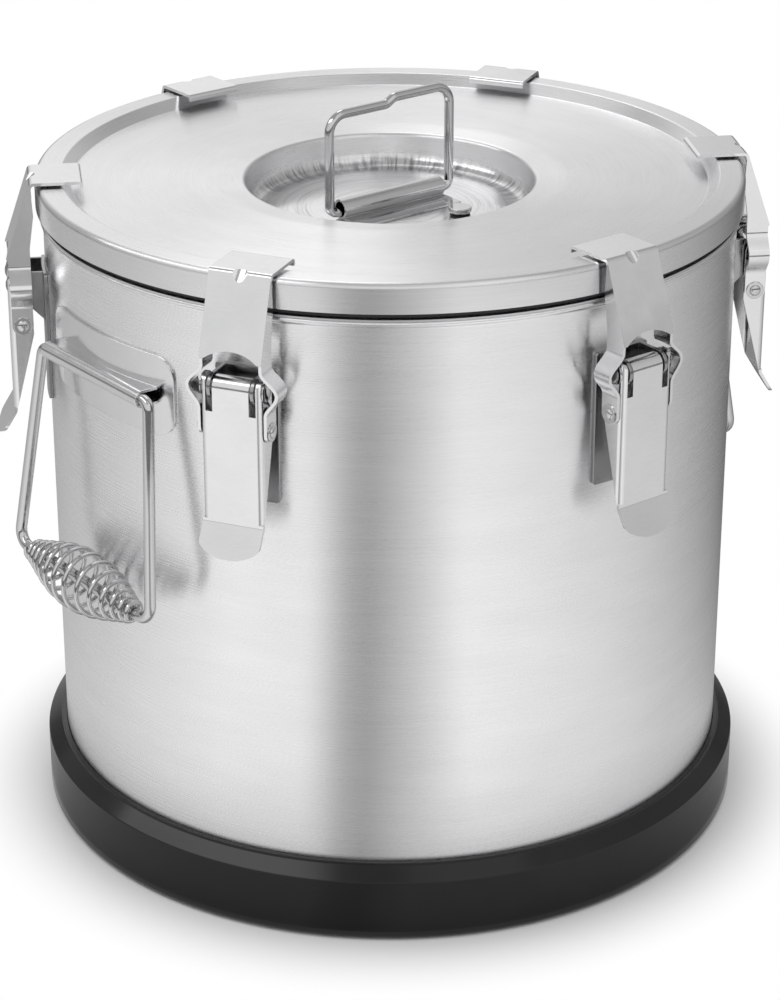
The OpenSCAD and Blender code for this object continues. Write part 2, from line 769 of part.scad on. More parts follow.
module lid_insulation() {
    under_cover = side_step(cover_path(), lid_sheet + foam_gap);
    over_liner = side_step(liner_path(), -lid_sheet - foam_gap);
    foam_side = lid_r - lid_sheet - foam_gap;
    foam_top = [for (p = under_cover) if (p[1] > skirt_z + lid_sheet + foam_gap || p[0] < plug_r) p];
    foam_low = [for (p = over_liner) [min(p[0], foam_side), p[1]]];
    color("khaki") difference() {
        rotate_extrude() polygon(concat(foam_top, backwards(foam_low)));
        vent_place() translate([0, 0, plug_z]) cylinder(d = vent_hole_d + 2 * foam_gap, h = lid_top - plug_z);
    }
}

module lid_gasket() {
    bulge_r = (lid_gap - seam - foam_gap) / 2;
    color([0.12, 0.12, 0.12]) rotate_extrude() {
        translate([plug_r + 2 * bulge_r, mouth_h + foam_gap])
            square([gasket_r - plug_r - 3 * bulge_r, 2 * bulge_r]);
        translate([gasket_r - bulge_r, mouth_h + foam_gap + bulge_r]) circle(r = bulge_r, $fn = wire_sides);
    }
}

// Lid handle
module at_lift(z) {
    translate([0, 0, z]) rotate([0, 0, lift_angle]) children();
}

module lid_handle_clip() {
    clip_r = clip_in_d / 2 + clip_t;
    color("lightgray") at_lift(clip_z) rotate([0, 0, -90]) across(clip_len) difference() {
        union() {
            circle(r = clip_r, $fn = eye_sides);
            translate([0, -clip_r]) square([clip_r + clip_flange_w, clip_t]);
        }
        circle(r = clip_in_d / 2, $fn = eye_sides);
    }
}

module lid_handle() {
    half = lift_w / 2;
    bend_r = lift_bend_r - lift_wire_r;
    foot_r = lift_foot_r - lift_wire_r;
    low_h = lift_h - lift_jog;
    jog_a = 30;
    jog_r = 2 * lift_jog;
    slant_h = lift_jog / 2 - jog_r * (1 - cos(jog_a));
    slant_y = slant_h / tan(jog_a);
    jog_y = slant_y + jog_r * sin(jog_a);
    jog_h = (low_h + lift_h) / 2;
    color("gainsboro") at_lift(lift_z) rotate([0, 0, -90]) {
        wire_run(foot_r - half, 0, half - foot_r, 0, lift_wire_r);
        wire_run(-half, foot_r, -half, low_h - bend_r, lift_wire_r);
        wire_run(half, foot_r, half, lift_h - bend_r, lift_wire_r);
        wire_run(bend_r - half, low_h, -jog_y, low_h, lift_wire_r);
        wire_run(jog_y, lift_h, half - bend_r, lift_h, lift_wire_r);
        wire_run(-slant_y, jog_h - slant_h, slant_y, jog_h + slant_h, lift_wire_r);
        wire_bend(-jog_y, low_h + jog_r, jog_r, 270, jog_a, lift_wire_r);
        wire_bend(jog_y, lift_h - jog_r, jog_r, 90, jog_a, lift_wire_r);
        wire_bend(foot_r - half, foot_r, foot_r, 180, 90, lift_wire_r);
        wire_bend(half - foot_r, foot_r, foot_r, 270, 90, lift_wire_r);
        wire_bend(half - bend_r, lift_h - bend_r, bend_r, 0, 90, lift_wire_r);
        wire_bend(bend_r - half, low_h - bend_r, bend_r, 90, 90, lift_wire_r);
    }
}

// Vent through the lid
module vent_bushing() {
    color("silver") vent_place() difference() {
        union() {
            translate([0, 0, vent_foot_z - 2 * vent_flange_t])
                cylinder(d = vent_bush_d, h = vent_seat_z - vent_foot_z + 2 * vent_flange_t);
            translate([0, 0, vent_seat_z]) cylinder(d = vent_cap_d, h = vent_flange_t);
        }
        translate([0, 0, vent_foot_z - 3 * vent_flange_t])
            cylinder(d = vent_stem_d + 2 * run_gap, h = lid_top);
    }
}

module vent_nut() {
    color("silver") vent_place() translate([0, 0, vent_foot_z - vent_flange_t]) difference() {
        cylinder(d = vent_bush_d + 3 * vent_wall, h = vent_flange_t, $fn = 6);
        translate([0, 0, -bite]) cylinder(d = vent_bush_d + 2 * seam, h = vent_flange_t + 2 * bite);
    }
}

module vent_seal() {
    seal_z = vent_seat_z + vent_flange_t + seam;
    color([0.12, 0.12, 0.12]) vent_place() translate([0, 0, seal_z]) difference() {
        cylinder(d = vent_cap_d - vent_wall, h = vent_seal_t - 2 * seam);
        translate([0, 0, -bite]) cylinder(d = vent_stem_d + 2 * seam, h = vent_seal_t + 2 * bite);
    }
}

module vent_cap() {
    stem_len = vent_cap_z - vent_foot_z + 2 * vent_flange_t;
    edge_r = 0.5;
    color("gainsboro") vent_place() {
        translate([0, 0, vent_cap_z]) rotate_extrude() polygon(bent_loop([
            [0, 0, 0],
            [vent_cap_d / 2 - vent_wall, 0, edge_r],
            [vent_cap_d / 2, vent_cap_h / 2, edge_r],
            [vent_cap_d / 2, vent_cap_h, edge_r],
            [0, vent_cap_h, 0]
        ]));
        translate([0, 0, vent_cap_z - stem_len]) cylinder(d = vent_stem_d, h = stem_len + bite);
    }
}

outer_shell();
inner_vessel();
body_insulation();
shell_bottom();
base_ring();
left_side() handle_bracket();  // handle_bracket_left
handle_bracket();  // handle_bracket_right
lever_pins();
for (i = [1:latch_count]) {
    latch_base(i);
    latch_lever(i);
    hook_rivets(i);
    latch_hook(i);
}
left_side() bail();  // bail_left
bail();  // bail_right
left_side() spring_grip();  // spring_grip_left
spring_grip();  // spring_grip_right
lid_cover();
lid_liner();
lid_insulation();
lid_gasket();
lid_handle_clip();
lid_handle();
vent_bushing();
vent_nut();
vent_cap();
vent_seal();
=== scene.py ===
import math

import bmesh
import bpy
from mathutils import Matrix, Vector


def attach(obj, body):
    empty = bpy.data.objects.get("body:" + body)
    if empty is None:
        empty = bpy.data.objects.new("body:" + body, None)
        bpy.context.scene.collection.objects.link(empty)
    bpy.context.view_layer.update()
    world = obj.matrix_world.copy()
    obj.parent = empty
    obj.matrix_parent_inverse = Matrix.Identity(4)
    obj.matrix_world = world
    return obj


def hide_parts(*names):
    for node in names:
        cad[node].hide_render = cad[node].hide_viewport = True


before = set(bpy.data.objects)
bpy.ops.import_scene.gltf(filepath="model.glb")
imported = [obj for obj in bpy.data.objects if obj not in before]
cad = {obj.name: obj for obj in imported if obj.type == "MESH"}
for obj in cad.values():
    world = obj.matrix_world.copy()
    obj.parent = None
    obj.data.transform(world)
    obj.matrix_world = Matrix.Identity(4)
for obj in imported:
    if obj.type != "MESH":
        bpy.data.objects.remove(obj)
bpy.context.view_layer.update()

# Sizes of the container as the CAD model has them: millimetres and radians
MM = 0.001

BODY_R = 181.5
SHELL_WALL = 1.2
SHELL_LOW = 6.05
SHELL_TOP = 334.45
BEAD_R = 1.6
BEAD_Z = 332.85

RING_R = 192.0
RING_HOLE_R = 145.0
RING_FLOOR_Z = 6.0
RING_SIDE_Z = 34.0
RING_SEAT_R = 181.8
COLLAR_R = 184.5
COLLAR_LOW = 40.0
COLLAR_TOP = 41.3

LID_R = 185.0
LID_TOP = 354.0
LID_SHEET = 1.0
SKIRT_Z = 339.0
RIM_INNER_R = 171.5
DISC_R = 166.0
DISC_Z = 348.5
BOWL_FLOOR_R = 72.5
BOWL_FLOOR_Z = 330.5
VENT_OFFSET = 42.0
VENT_ANGLE = math.radians(-68)
VENT_HOLE_R = 4.55

LATCH_COUNT = 6
LATCH_FIRST = math.radians(30)
PIN_R = 196.0
PIN_Z = 301.0
RIVET_R = 194.7
RIVET_Z = 280.5

GRIP_D = 33.0
GRIP_HANG_GAP = 0.5
GRIP_HANG_R = BODY_R + GRIP_D / 2 + GRIP_HANG_GAP

BAIL_HINGE_R = 186.35
BAIL_HINGE_Z = 281.5
BAIL_DROP = 111.0
BAIL_W = 123.0
BAIL_TOP_W = 96.0
BAIL_WIRE_R = 3.0
BAIL_BEND_R = 8.0
BAIL_TOP_BEND_R = 5.0
BAIL_LEAN = math.asin((GRIP_HANG_R - BAIL_HINGE_R) / BAIL_DROP)
BAIL_SPLAY = math.atan((BAIL_W - BAIL_TOP_W) / 2 / BAIL_DROP)

GRIP_SLACK = 4.0
GRIP_LEN = BAIL_W - 2 * (BAIL_BEND_R * math.tan(math.radians(45) + BAIL_SPLAY / 2) + GRIP_SLACK)
GRIP_WIRE = 2.6
GRIP_CURLS = 13
GRIP_BAR_GAP = 0.3
GRIP_CAD_RINGS = 8
GRIP_END_R = (BAIL_WIRE_R + GRIP_WIRE / 2 + GRIP_BAR_GAP) / math.cos(math.pi / GRIP_CAD_RINGS)
GRIP_MID_R = (GRIP_D - GRIP_WIRE) / 2
GRIP_FULLNESS = 1.25
GRIP_SPREAD = 0.38
GRIP_TAIL_SLANT = 0.15

LIFT_Z = 334.55
LIFT_W = 79.0
LIFT_H = 55.0
LIFT_JOG = 3.0
LIFT_JOG_SLOPE = math.radians(30)
LIFT_WIRE_R = 2.5
LIFT_BEND_R = 9.5
LIFT_FOOT_R = 4.0

# Details that the scene makes crisper or rounder than the CAD model has them
BEAD_FILLET = 0.7
SHOULDER_R = 91.0
LIP_R = 76.0
LIP_DIP = 1.3
SHEET_BEVEL = 0.3
TAB_ROUND = 6.0
TAB_CORNER_MIN = math.radians(20)
TAB_CORNER_MAX = math.radians(45)

# How finely the pieces are made
TURN_STEPS = 256
PIN_STEPS = 40
CORNER_STEPS = 8
WIRE_BEND_STEPS = 14
WIRE_SIDES = 28
SPRING_SIDES = 14
SPRING_RINGS = 40
EDGE_ANGLE = math.radians(38)
FLAT_ANGLE = math.radians(0.6)
CAD_MERGE = 2e-6
SEAM_MERGE = 1e-8
SAME_LEVEL = 1e-5

# The bails' sides, and which way along X each one lies
SIDES = (("left", -1), ("right", 1))
LATCHES = range(1, LATCH_COUNT + 1)


# Objects


def new_object(name, data):
    """An object in the scene."""
    obj = bpy.data.objects.new(name, data)
    bpy.context.scene.collection.objects.link(obj)
    return obj


def plain(host, name):
    """A plain mesh object of what an object's modifiers make, in place of the object."""
    bpy.context.view_layer.update()
    evaluated = host.evaluated_get(bpy.context.evaluated_depsgraph_get())
    result = bpy.data.meshes.new_from_object(evaluated)
    result.name = name
    bpy.data.objects.remove(host)
    return new_object(name, result)


def coat(obj, material):
    """Gives an object one material."""
    obj.data.materials.clear()
    obj.data.materials.append(material)


def bare_material(name):
    """A material whose tree is still empty."""
    material = bpy.data.materials.new(name)
    material.use_nodes = True
    material.node_tree.nodes.clear()
    return material


def placed(obj, body, node):
    """Lets a piece ride on its body and stand for a CAD node."""
    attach(obj, body)
    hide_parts(node)


# Node trees


class Value:
    """A socket in an expression: arithmetic on it adds Math nodes to its tree."""

    def __init__(self, maker, socket):
        self.maker = maker
        self.socket = socket

    def beside(self, name):
        """Another output of the same node."""
        return Value(self.maker, self.socket.node.outputs[name])

    def math(self, operation, *others):
        return self.maker.math(operation, self, *others)

    def __add__(self, other):
        return self.math("ADD", other)

    def __sub__(self, other):
        return self.math("SUBTRACT", other)

    def __mul__(self, other):
        return self.math("MULTIPLY", other)

    def __truediv__(self, other):
        return self.math("DIVIDE", other)

    def __pow__(self, other):
        return self.math("POWER", other)

    def __rsub__(self, other):
        return self.maker.math("SUBTRACT", other, self)

    def __rtruediv__(self, other):
        return self.maker.math("DIVIDE", other, self)

    __radd__ = __add__
    __rmul__ = __mul__


class NodeMaker:
    """Adds nodes to one tree."""

    def __init__(self, tree):
        self.tree = tree

    def node(self, kind, settings=None, sockets=None, output=0):
        """A new node: its settings come first, then the values or links of its sockets."""
        made = self.tree.nodes.new(kind)
        for name, value in (settings or {}).items():
            if name == "stops":
                self.set_stops(made.color_ramp, value)
            else:
                setattr(made, name, value)
        for name, value in (sockets or {}).items():
            self.feed(made.inputs[name], value)
        return Value(self, made.outputs[output])

    def feed(self, socket, value):
        if isinstance(value, Value):
            self.tree.links.new(value.socket, socket)
        else:
            socket.default_value = value

    def end(self, kind, socket, value):
        """Leads a value out of the tree."""
        self.feed(self.tree.nodes.new(kind).inputs[socket], value)

    @staticmethod
    def set_stops(ramp, stops):
        while len(ramp.elements) < len(stops):
            ramp.elements.new(1.0)
        for element, (place, tone) in zip(ramp.elements, stops):
            element.position = place
            element.color = (tone, tone, tone, 1.0)

    def math(self, operation, *values):
        return self.node("ShaderNodeMath", {"operation": operation}, dict(enumerate(values)))

    def place(self):
        return self.node("ShaderNodeTexCoord", output="Object")

    def split(self, vector):
        """The three numbers of a vector."""
        x = self.node("ShaderNodeSeparateXYZ", {}, {0: vector})
        return x, x.beside("Y"), x.beside("Z")

    def vector(self, x, y, z):
        return self.node("ShaderNodeCombineXYZ", {}, {0: x, 1: y, 2: z})

    def mixed(self, share, first, second):
        """A colour between two colours."""
        return self.node(
            "ShaderNodeMix", {"data_type": "RGBA"}, {0: share, 6: first, 7: second}, output=2
        )

    def ramp(self, value, stops):
        """A tone that goes through stops of place and tone."""
        return self.node("ShaderNodeValToRGB", {"stops": stops}, {"Fac": value})

    def eased(self, value, start, end, low=0.0, high=1.0):
        """A number that goes smoothly from low to high as a value goes from start to end."""
        return self.node("ShaderNodeMapRange", {"interpolation_type": "SMOOTHSTEP"}, {
            "Value": value, "From Min": start, "From Max": end, "To Min": low, "To Max": high,
        })

    def glow(self, colour):
        return self.node("ShaderNodeEmission", {}, {"Color": colour, "Strength": 1.0})

    def either(self, share, first, second):
        """A mix of two shaders."""
        return self.node("ShaderNodeMixShader", {}, {0: share, 1: first, 2: second})


class Finish(NodeMaker):
    """One material on the Principled shader. Fixed values go straight onto its sockets."""

    def __init__(self, name, fixed):
        self.material = bare_material(name)
        super().__init__(self.material.node_tree)
        self.shader = self.tree.nodes.new("ShaderNodeBsdfPrincipled")
        self.end("ShaderNodeOutputMaterial", "Surface", Value(self, self.shader.outputs["BSDF"]))
        for socket, value in fixed.items():
            self.shader.inputs[socket].default_value = value

    def noise(self, vector, scale=1.0, detail=2.0, roughness=0.55):
        return self.node(
            "ShaderNodeTexNoise",
            {},
            {"Vector": vector, "Scale": scale, "Detail": detail, "Roughness": roughness},
        )

    def bump(self, height, strength, depth):
        return self.node(
            "ShaderNodeBump", {}, {"Strength": strength, "Distance": depth, "Height": height}
        )

    def dress(self, links):
        """The material, with what changes over the surface fed to its shader."""
        for socket, value in links.items():
            self.feed(self.shader.inputs[socket], value)
        return self.material


class ShapeTree(NodeMaker):
    """A Geometry Nodes tree with named inputs, closed by Realize Instances and Set Material."""

    def __init__(self, name, numbers):
        super().__init__(bpy.data.node_groups.new(name, "GeometryNodeTree"))
        self.keys = {}
        self.add_socket("Geometry", "Geometry", "INPUT")
        for label in numbers:
            self.keys[label] = self.add_socket(label, "Float", "INPUT")
        self.keys["Material"] = self.add_socket("Material", "Material", "INPUT")
        self.add_socket("Geometry", "Geometry", "OUTPUT")
        self.entry = self.tree.nodes.new("NodeGroupInput")

    def add_socket(self, label, kind, way):
        """A new input or output of the tree, by its identifier."""
        socket = self.tree.interface.new_socket(label, in_out=way, socket_type="NodeSocket" + kind)
        return socket.identifier

    def given(self, label):
        return Value(self, self.entry.outputs[label])

    def close(self, geometry):
        real = self.node("GeometryNodeRealizeInstances", {}, {"Geometry": geometry})
        smoothed = self.node("GeometryNodeSetShadeSmooth", {}, {"Geometry": real})
        dressed = self.node(
            "GeometryNodeSetMaterial", {}, {"Geometry": smoothed, "Material": self.given("Material")}
        )
        self.end("NodeGroupOutput", "Geometry", dressed)

    def grow(self, name, start, values, material):
        """The tree's result on a starting mesh, as a plain object."""
        host = new_object(name + "_start", start)
        modifier = host.modifiers.new("shape", "NODES")
        modifier.node_group = self.tree
        for label, value in values.items():
            modifier[self.keys[label]] = float(value)
        modifier[self.keys["Material"]] = material
        return plain(host, name)


# Meshes


def smooth(mesh):
    for polygon in mesh.polygons:
        polygon.use_smooth = True
    mesh.set_sharp_from_angle(angle=EDGE_ANGLE)


def finished(mesh, name, material, bevel=0.0):
    """An object with softened edges and even normals."""
    smooth(mesh)
    host = new_object(name + "_start", mesh)
    if bevel:
        soften = host.modifiers.new("soften", "BEVEL")
        soften.limit_method = "ANGLE"
        soften.angle_limit = EDGE_ANGLE
        soften.width = bevel * MM
        soften.segments = 2
        soften.use_clamp_overlap = True
        soften.harden_normals = True
    even = host.modifiers.new("even", "WEIGHTED_NORMAL")
    even.keep_sharp = True
    obj = plain(host, name)
    coat(obj, material)
    return obj


def on_circle(radius, degrees):
    """A point on a circle about the origin."""
    a = math.radians(degrees)
    return radius * math.cos(a), radius * math.sin(a)


def corner_arc(before, at, after, radius, steps):
    """Points of the arc that rounds one corner of an outline."""
    a, b, c = Vector(before), Vector(at), Vector(after)
    u, v = (a - b).normalized(), (c - b).normalized()
    half = math.acos(max(-1.0, min(1.0, u.dot(v)))) / 2
    centre = b + (u + v).normalized() * radius / math.sin(half)
    first = b + u * radius / math.tan(half) - centre
    last = b + v * radius / math.tan(half) - centre
    start = math.atan2(first.y, first.x)
    sweep = math.atan2(last.y, last.x) - start
    sweep -= 2 * math.pi * round(sweep / (2 * math.pi))
    turns = [start + sweep * k / steps for k in range(steps + 1)]
    return [(centre.x + radius * math.cos(t), centre.y + radius * math.sin(t)) for t in turns]


def rounded(points, closed, steps=CORNER_STEPS):
    """An outline through points (x, y, rounding)."""
    made = []
    last = len(points) - 1
    for i, (x, y, radius) in enumerate(points):
        if not radius or (not closed and i in (0, last)):
            made.append((x, y))
        else:
            after = points[(i + 1) % len(points)]
            made += corner_arc(points[i - 1][:2], (x, y), after[:2], radius, steps)
    return made


def stepped_aside(path, distance):
    """The path moved to its left by a distance."""
    moved = []
    for i, point in enumerate(path):
        a = Vector(path[max(i - 1, 0)]) - Vector(path[max(i, 1)])
        b = Vector(path[min(i, len(path) - 2)]) - Vector(path[min(i + 1, len(path) - 1)])
        n0, n1 = Vector((a.y, -a.x)).normalized(), Vector((b.y, -b.x)).normalized()
        m = (n0 + n1).normalized()
        moved.append(tuple(Vector(point) + m * distance / m.dot(n0)))
    return moved


def meshed(shape, name):
    """The mesh of a finished bmesh."""
    mesh = bpy.data.meshes.new(name)
    shape.to_mesh(mesh)
    shape.free()
    return mesh


def turned(profile, steps=TURN_STEPS):
    """A mesh turned about the Z axis from a closed outline of radius and height."""
    shape = bmesh.new()
    rings = []
    for k in range(steps):
        c, s = math.cos(2 * math.pi * k / steps), math.sin(2 * math.pi * k / steps)
        rings.append([shape.verts.new((r * c * MM, r * s * MM, z * MM)) for r, z in profile])
    for k in range(steps):
        here, there = rings[k], rings[(k + 1) % steps]
        for i in range(len(profile)):
            j = (i + 1) % len(profile)
            shape.faces.new((here[i], there[i], there[j], here[j]))
    bmesh.ops.remove_doubles(shape, verts=shape.verts[:], dist=SEAM_MERGE)
    bmesh.ops.recalc_face_normals(shape, faces=shape.faces[:])
    return meshed(shape, "turned")


def round_tab(shape, reach):
    """Rounds the two corners in the lowest edge of a lever's finger tab."""
    low = min(v.co.z for v in shape.verts)
    level = [e for e in shape.edges if max(v.co.z for v in e.verts) - low < SAME_LEVEL]
    corners = [e for e in level if TAB_CORNER_MIN < e.calc_face_angle(0.0) < TAB_CORNER_MAX]
    bmesh.ops.bevel(
        shape,
        geom=corners,
        offset=reach * MM,
        offset_type="OFFSET",
        segments=CORNER_STEPS,
        profile=0.5,
        affect="EDGES",
    )


def sheet_copy(node, material, tab_round=0.0):
    """A copy of a CAD node with its edges softened and, on a lever, its tab rounded."""
    shape = bmesh.new()
    shape.from_mesh(cad[node].data)
    bmesh.ops.remove_doubles(shape, verts=shape.verts[:], dist=CAD_MERGE)
    bmesh.ops.dissolve_limit(
        shape, angle_limit=FLAT_ANGLE, verts=shape.verts[:], edges=shape.edges[:]
    )
    bmesh.ops.recalc_face_normals(shape, faces=shape.faces[:])
    if tab_round:
        round_tab(shape, tab_round)
    return finished(meshed(shape, node), node + "_sheet", material, SHEET_BEVEL)


def wire_line(points):
    """A closed line of edges, in millimetres, for a bent wire to follow."""
    mesh = bpy.data.meshes.new("wire_line")
    count = len(points)
    corners = [tuple(c * MM for c in p) for p in points]
    mesh.from_pydata(corners, [(i, (i + 1) % count) for i in range(count)], [])
    return mesh


# Finishes
METAL = {"Metallic": 1.0}
BRUSHED = {**METAL, "Anisotropic": 0.82, "Anisotropic Rotation": 0.25}
MOULDED = {"Metallic": 0.0, "IOR": 1.5, "Specular IOR Level": 0.42}
LINE_DEPTH = 0.00003
MARK_DEPTH = 0.0004
CELL_DEPTH = 0.0006
AXIS_GUARD = 1e-9


def tint(tone, red, green, blue):
    """A colour as shares of one tone, none of them above white."""
    return tuple(min(tone * share, 1.0) for share in (red, green, blue)) + (1.0,)


def swing(noise, amount):
    """How far a noise goes either way from its middle, times an amount."""
    return (noise - 0.5) * amount


def turned_steel(name, tone, rough, along, across, grain, fixed, bowl_r=0.0):
    """Steel brushed around the axis: rings on discs, level lines on walls, and painted dark reflections
    inside the bowl's radius.
    """
    finish = Finish(name, fixed)
    place = finish.place()
    x, y, z = finish.split(place)
    reach = (x * x + y * y + AXIS_GUARD).math("SQRT")
    level = reach + z

    def around(stretch, height):
        return finish.vector(x / reach * stretch, y / reach * stretch, height)

    # Fine lines, broad bands and a faint cloud
    lines = finish.noise(around(along, level * across), detail=4.0, roughness=0.7)
    broad = finish.noise(around(3.0, level * 60))
    cloud = finish.noise(place, scale=7.0, detail=3.0)
    shade = swing(lines, grain) + swing(broad, grain * 0.5) + 0.5
    colour = finish.mixed(shade, tint(tone, 0.86, 0.865, 0.875), tint(tone, 1.1, 1.1, 1.105))
    sheen = swing(lines, 0.12) + swing(cloud, 0.05) + rough
    if bowl_r:
        # In the bowl: painted reflections, dark arcs on its floor and dark streaks up its wall
        inside = finish.eased(reach, bowl_r, bowl_r * 0.96)
        wall = finish.eased(reach, bowl_r * 0.8, bowl_r * 0.88)
        floor_arc_noise = finish.noise(around(0.7, level * 900), detail=4.0, roughness=0.75)
        wall_streak_noise = finish.noise(around(26.0, z * 60), detail=3.0, roughness=0.7)
        painted_floor_arcs = finish.ramp(floor_arc_noise, [(0.48, 0.0), (0.66, 1.0)])
        painted_wall_streaks = finish.ramp(wall_streak_noise, [(0.45, 0.0), (0.62, 1.0)])
        # Painted reflection: a dark steel tone mixed into the bowl's colour in arcs and streaks
        marks = painted_floor_arcs * (1 - wall) * 0.45 + painted_wall_streaks * wall * 0.8
        colour = finish.mixed(marks * inside, colour, tint(tone, 0.3, 0.3, 0.31))
        sheen = sheen - inside * 0.12
    return finish.dress({
        "Base Color": colour,
        "Roughness": sheen,
        "Normal": finish.bump(lines, strength=0.06, depth=LINE_DEPTH),
    })


def sheet_steel(name, tone, rough):
    """Bright rolled sheet with faint scratches and handling marks."""
    finish = Finish(name, METAL)
    place = finish.place()
    x, y, z = finish.split(place)
    # Rolling lines lie level, close together in height
    rolled = finish.noise(finish.vector(x * 260, y * 260, z * 1500), detail=3.0, roughness=0.6)
    marks = finish.noise(place, scale=90.0, detail=4.0, roughness=0.6)
    cloud = finish.noise(place, scale=28.0)
    shade = swing(rolled, 0.5) + swing(cloud, 0.7) + 0.5
    return finish.dress({
        "Base Color": finish.mixed(shade, tint(tone, 0.88, 0.885, 0.895), tint(tone, 1.08, 1.08, 1.08)),
        "Roughness": swing(marks, 0.16) + swing(rolled, 0.06) + rough,
        "Normal": finish.bump(marks, strength=0.03, depth=MARK_DEPTH),
    })


def moulded_black(name, tone, rough, grain_scale, grain_depth):
    """Black plastic or rubber with a fine moulded grain and dull patches."""
    finish = Finish(name, MOULDED)
    place = finish.place()
    grain = finish.noise(place, grain_scale, detail=3.0, roughness=0.6)
    scuff = finish.noise(place, scale=45.0, detail=5.0, roughness=0.65)
    dust = finish.ramp(scuff, [(0.52, 0.0), (0.8, 1.0)])
    return finish.dress({
        "Base Color": finish.mixed(dust, tint(tone, 1.0, 1.0, 1.03), tint(tone, 1.5, 1.5, 1.55)),
        "Roughness": swing(grain, 0.08) + swing(scuff, 0.06) + rough,
        "Normal": finish.bump(grain, strength=0.1, depth=grain_depth),
    })


def foam_fill(name):
    """Pale rigid foam with small cells."""
    finish = Finish(name, {"Roughness": 0.9})
    place = finish.place()
    cells = finish.node("ShaderNodeTexVoronoi", {}, {"Vector": place, "Scale": 420.0})
    cloud = finish.noise(place, scale=40.0, detail=4.0)
    shade = cells * 0.6 + swing(cloud, 0.6)
    return finish.dress({
        "Base Color": finish.mixed(shade, (0.62, 0.5, 0.28, 1.0), (0.82, 0.74, 0.5, 1.0)),
        "Normal": finish.bump(cells, strength=0.5, depth=CELL_DEPTH),
    })


shell_steel = turned_steel(
    "shell_steel", tone=0.91, rough=0.28, along=4.0, across=1700.0, grain=0.9, fixed=BRUSHED
)
# The lid's steel carries painted dark reflections in its bowl, out to the last radius given
lid_steel = turned_steel(
    "lid_steel", tone=0.82, rough=0.29, along=4.0, across=1500.0, grain=1.0, fixed=BRUSHED, bowl_r=0.0745
)
vessel_steel = turned_steel(
    "vessel_steel", tone=0.68, rough=0.4, along=7.0, across=900.0, grain=0.7, fixed=METAL
)
latch_steel = sheet_steel("latch_steel", tone=0.8, rough=0.16)
# Latch bases: the same steel painted darker, painted shade for the shadow and dark reflections they sit
# in
base_steel = sheet_steel("base_steel", tone=0.38, rough=0.22)
bright_steel = sheet_steel("bright_steel", tone=0.62, rough=0.08)
black_plastic = moulded_black(
    "black_plastic", tone=0.006, rough=0.17, grain_scale=900.0, grain_depth=0.00006
)
black_rubber = moulded_black(
    "black_rubber", tone=0.02, rough=0.6, grain_scale=700.0, grain_depth=0.0002
)
foam = foam_fill("foam")

CAD_FINISHES = {
    "inner_vessel": vessel_steel,
    "shell_bottom": vessel_steel,
    "lid_liner": vessel_steel,
    "body_insulation": foam,
    "lid_insulation": foam,
    "lid_gasket": black_rubber,
    "vent_seal": black_rubber,
    "vent_nut": bright_steel,
    "vent_bushing": bright_steel,
    "vent_cap": bright_steel,
}
for node_name, material in CAD_FINISHES.items():
    coat(cad[node_name], material)


# Body: shell with its rolled bead, and the base ring


def shell_outline():
    neck = BEAD_Z - BEAD_R
    inside = BODY_R - SHELL_WALL
    outline = [
        (inside, SHELL_LOW),
        (BODY_R, SHELL_LOW),
        (BODY_R, neck - 2 * BEAD_FILLET),
        (BODY_R, neck - BEAD_FILLET),
        (BODY_R + BEAD_FILLET * 0.12, neck - BEAD_FILLET * 0.4),
        (BODY_R + BEAD_FILLET * 0.45, neck),
    ]
    for degrees in range(-60, 91, 10):
        out, up = on_circle(BEAD_R, degrees)
        outline.append((BODY_R + out, BEAD_Z + up))
    return outline + [(inside, SHELL_TOP)]


def ring_outline():
    return rounded([
        (RING_HOLE_R, 0.0, 0.6),
        (RING_R, 0.0, 4.0),
        (RING_R, RING_SIDE_Z, 1.0),
        (COLLAR_R, COLLAR_LOW, 0.5),
        (COLLAR_R, COLLAR_TOP, 0.5),
        (RING_SEAT_R, COLLAR_TOP, 0.15),
        (RING_SEAT_R, RING_FLOOR_Z, 0.0),
        (RING_HOLE_R, RING_FLOOR_Z, 1.0),
    ], closed=True)


shell = finished(turned(shell_outline()), "shell_tube", shell_steel)
placed(shell, "container", "outer_shell")
ring = finished(turned(ring_outline()), "foot_ring", black_plastic)
placed(ring, "container", "base_ring")


# Lid: pressed cover with the vent's hole
DRILL_LOW = 320.0
DRILL_TOP = 345.0


def cover_outline():
    outside = rounded([
        (LID_R, SKIRT_Z, 0.0),
        (LID_R, LID_TOP, 3.0),
        (RIM_INNER_R, LID_TOP, 1.5),
        (DISC_R, DISC_Z, 1.5),
        (SHOULDER_R, DISC_Z, 60.0),
        (LIP_R, DISC_Z - LIP_DIP, 2.5),
        (BOWL_FLOOR_R, BOWL_FLOOR_Z, 8.0),
        (0.0, BOWL_FLOOR_Z, 0.0),
    ], closed=False)
    return outside + stepped_aside(outside, LID_SHEET)[::-1]


def with_vent_hole(mesh):
    """The mesh with a round hole where the vent passes through."""
    drill = turned(
        [(0.0, DRILL_LOW), (VENT_HOLE_R, DRILL_LOW), (VENT_HOLE_R, DRILL_TOP), (0.0, DRILL_TOP)],
        PIN_STEPS,
    )
    x, y = VENT_OFFSET * math.cos(VENT_ANGLE), VENT_OFFSET * math.sin(VENT_ANGLE)
    drill.transform(Matrix.Translation((x * MM, y * MM, 0.0)))
    tool = new_object("drill", drill)
    host = new_object("drilled_start", mesh)
    cut = host.modifiers.new("hole", "BOOLEAN")
    cut.object = tool
    cut.operation = "DIFFERENCE"
    cut.solver = "EXACT"
    drilled = plain(host, "drilled")
    result = drilled.data
    bpy.data.objects.remove(tool)
    bpy.data.objects.remove(drilled)
    return result


cover = finished(with_vent_hole(turned(cover_outline())), "lid_pressing", lid_steel)
placed(cover, "lid", "lid_cover")


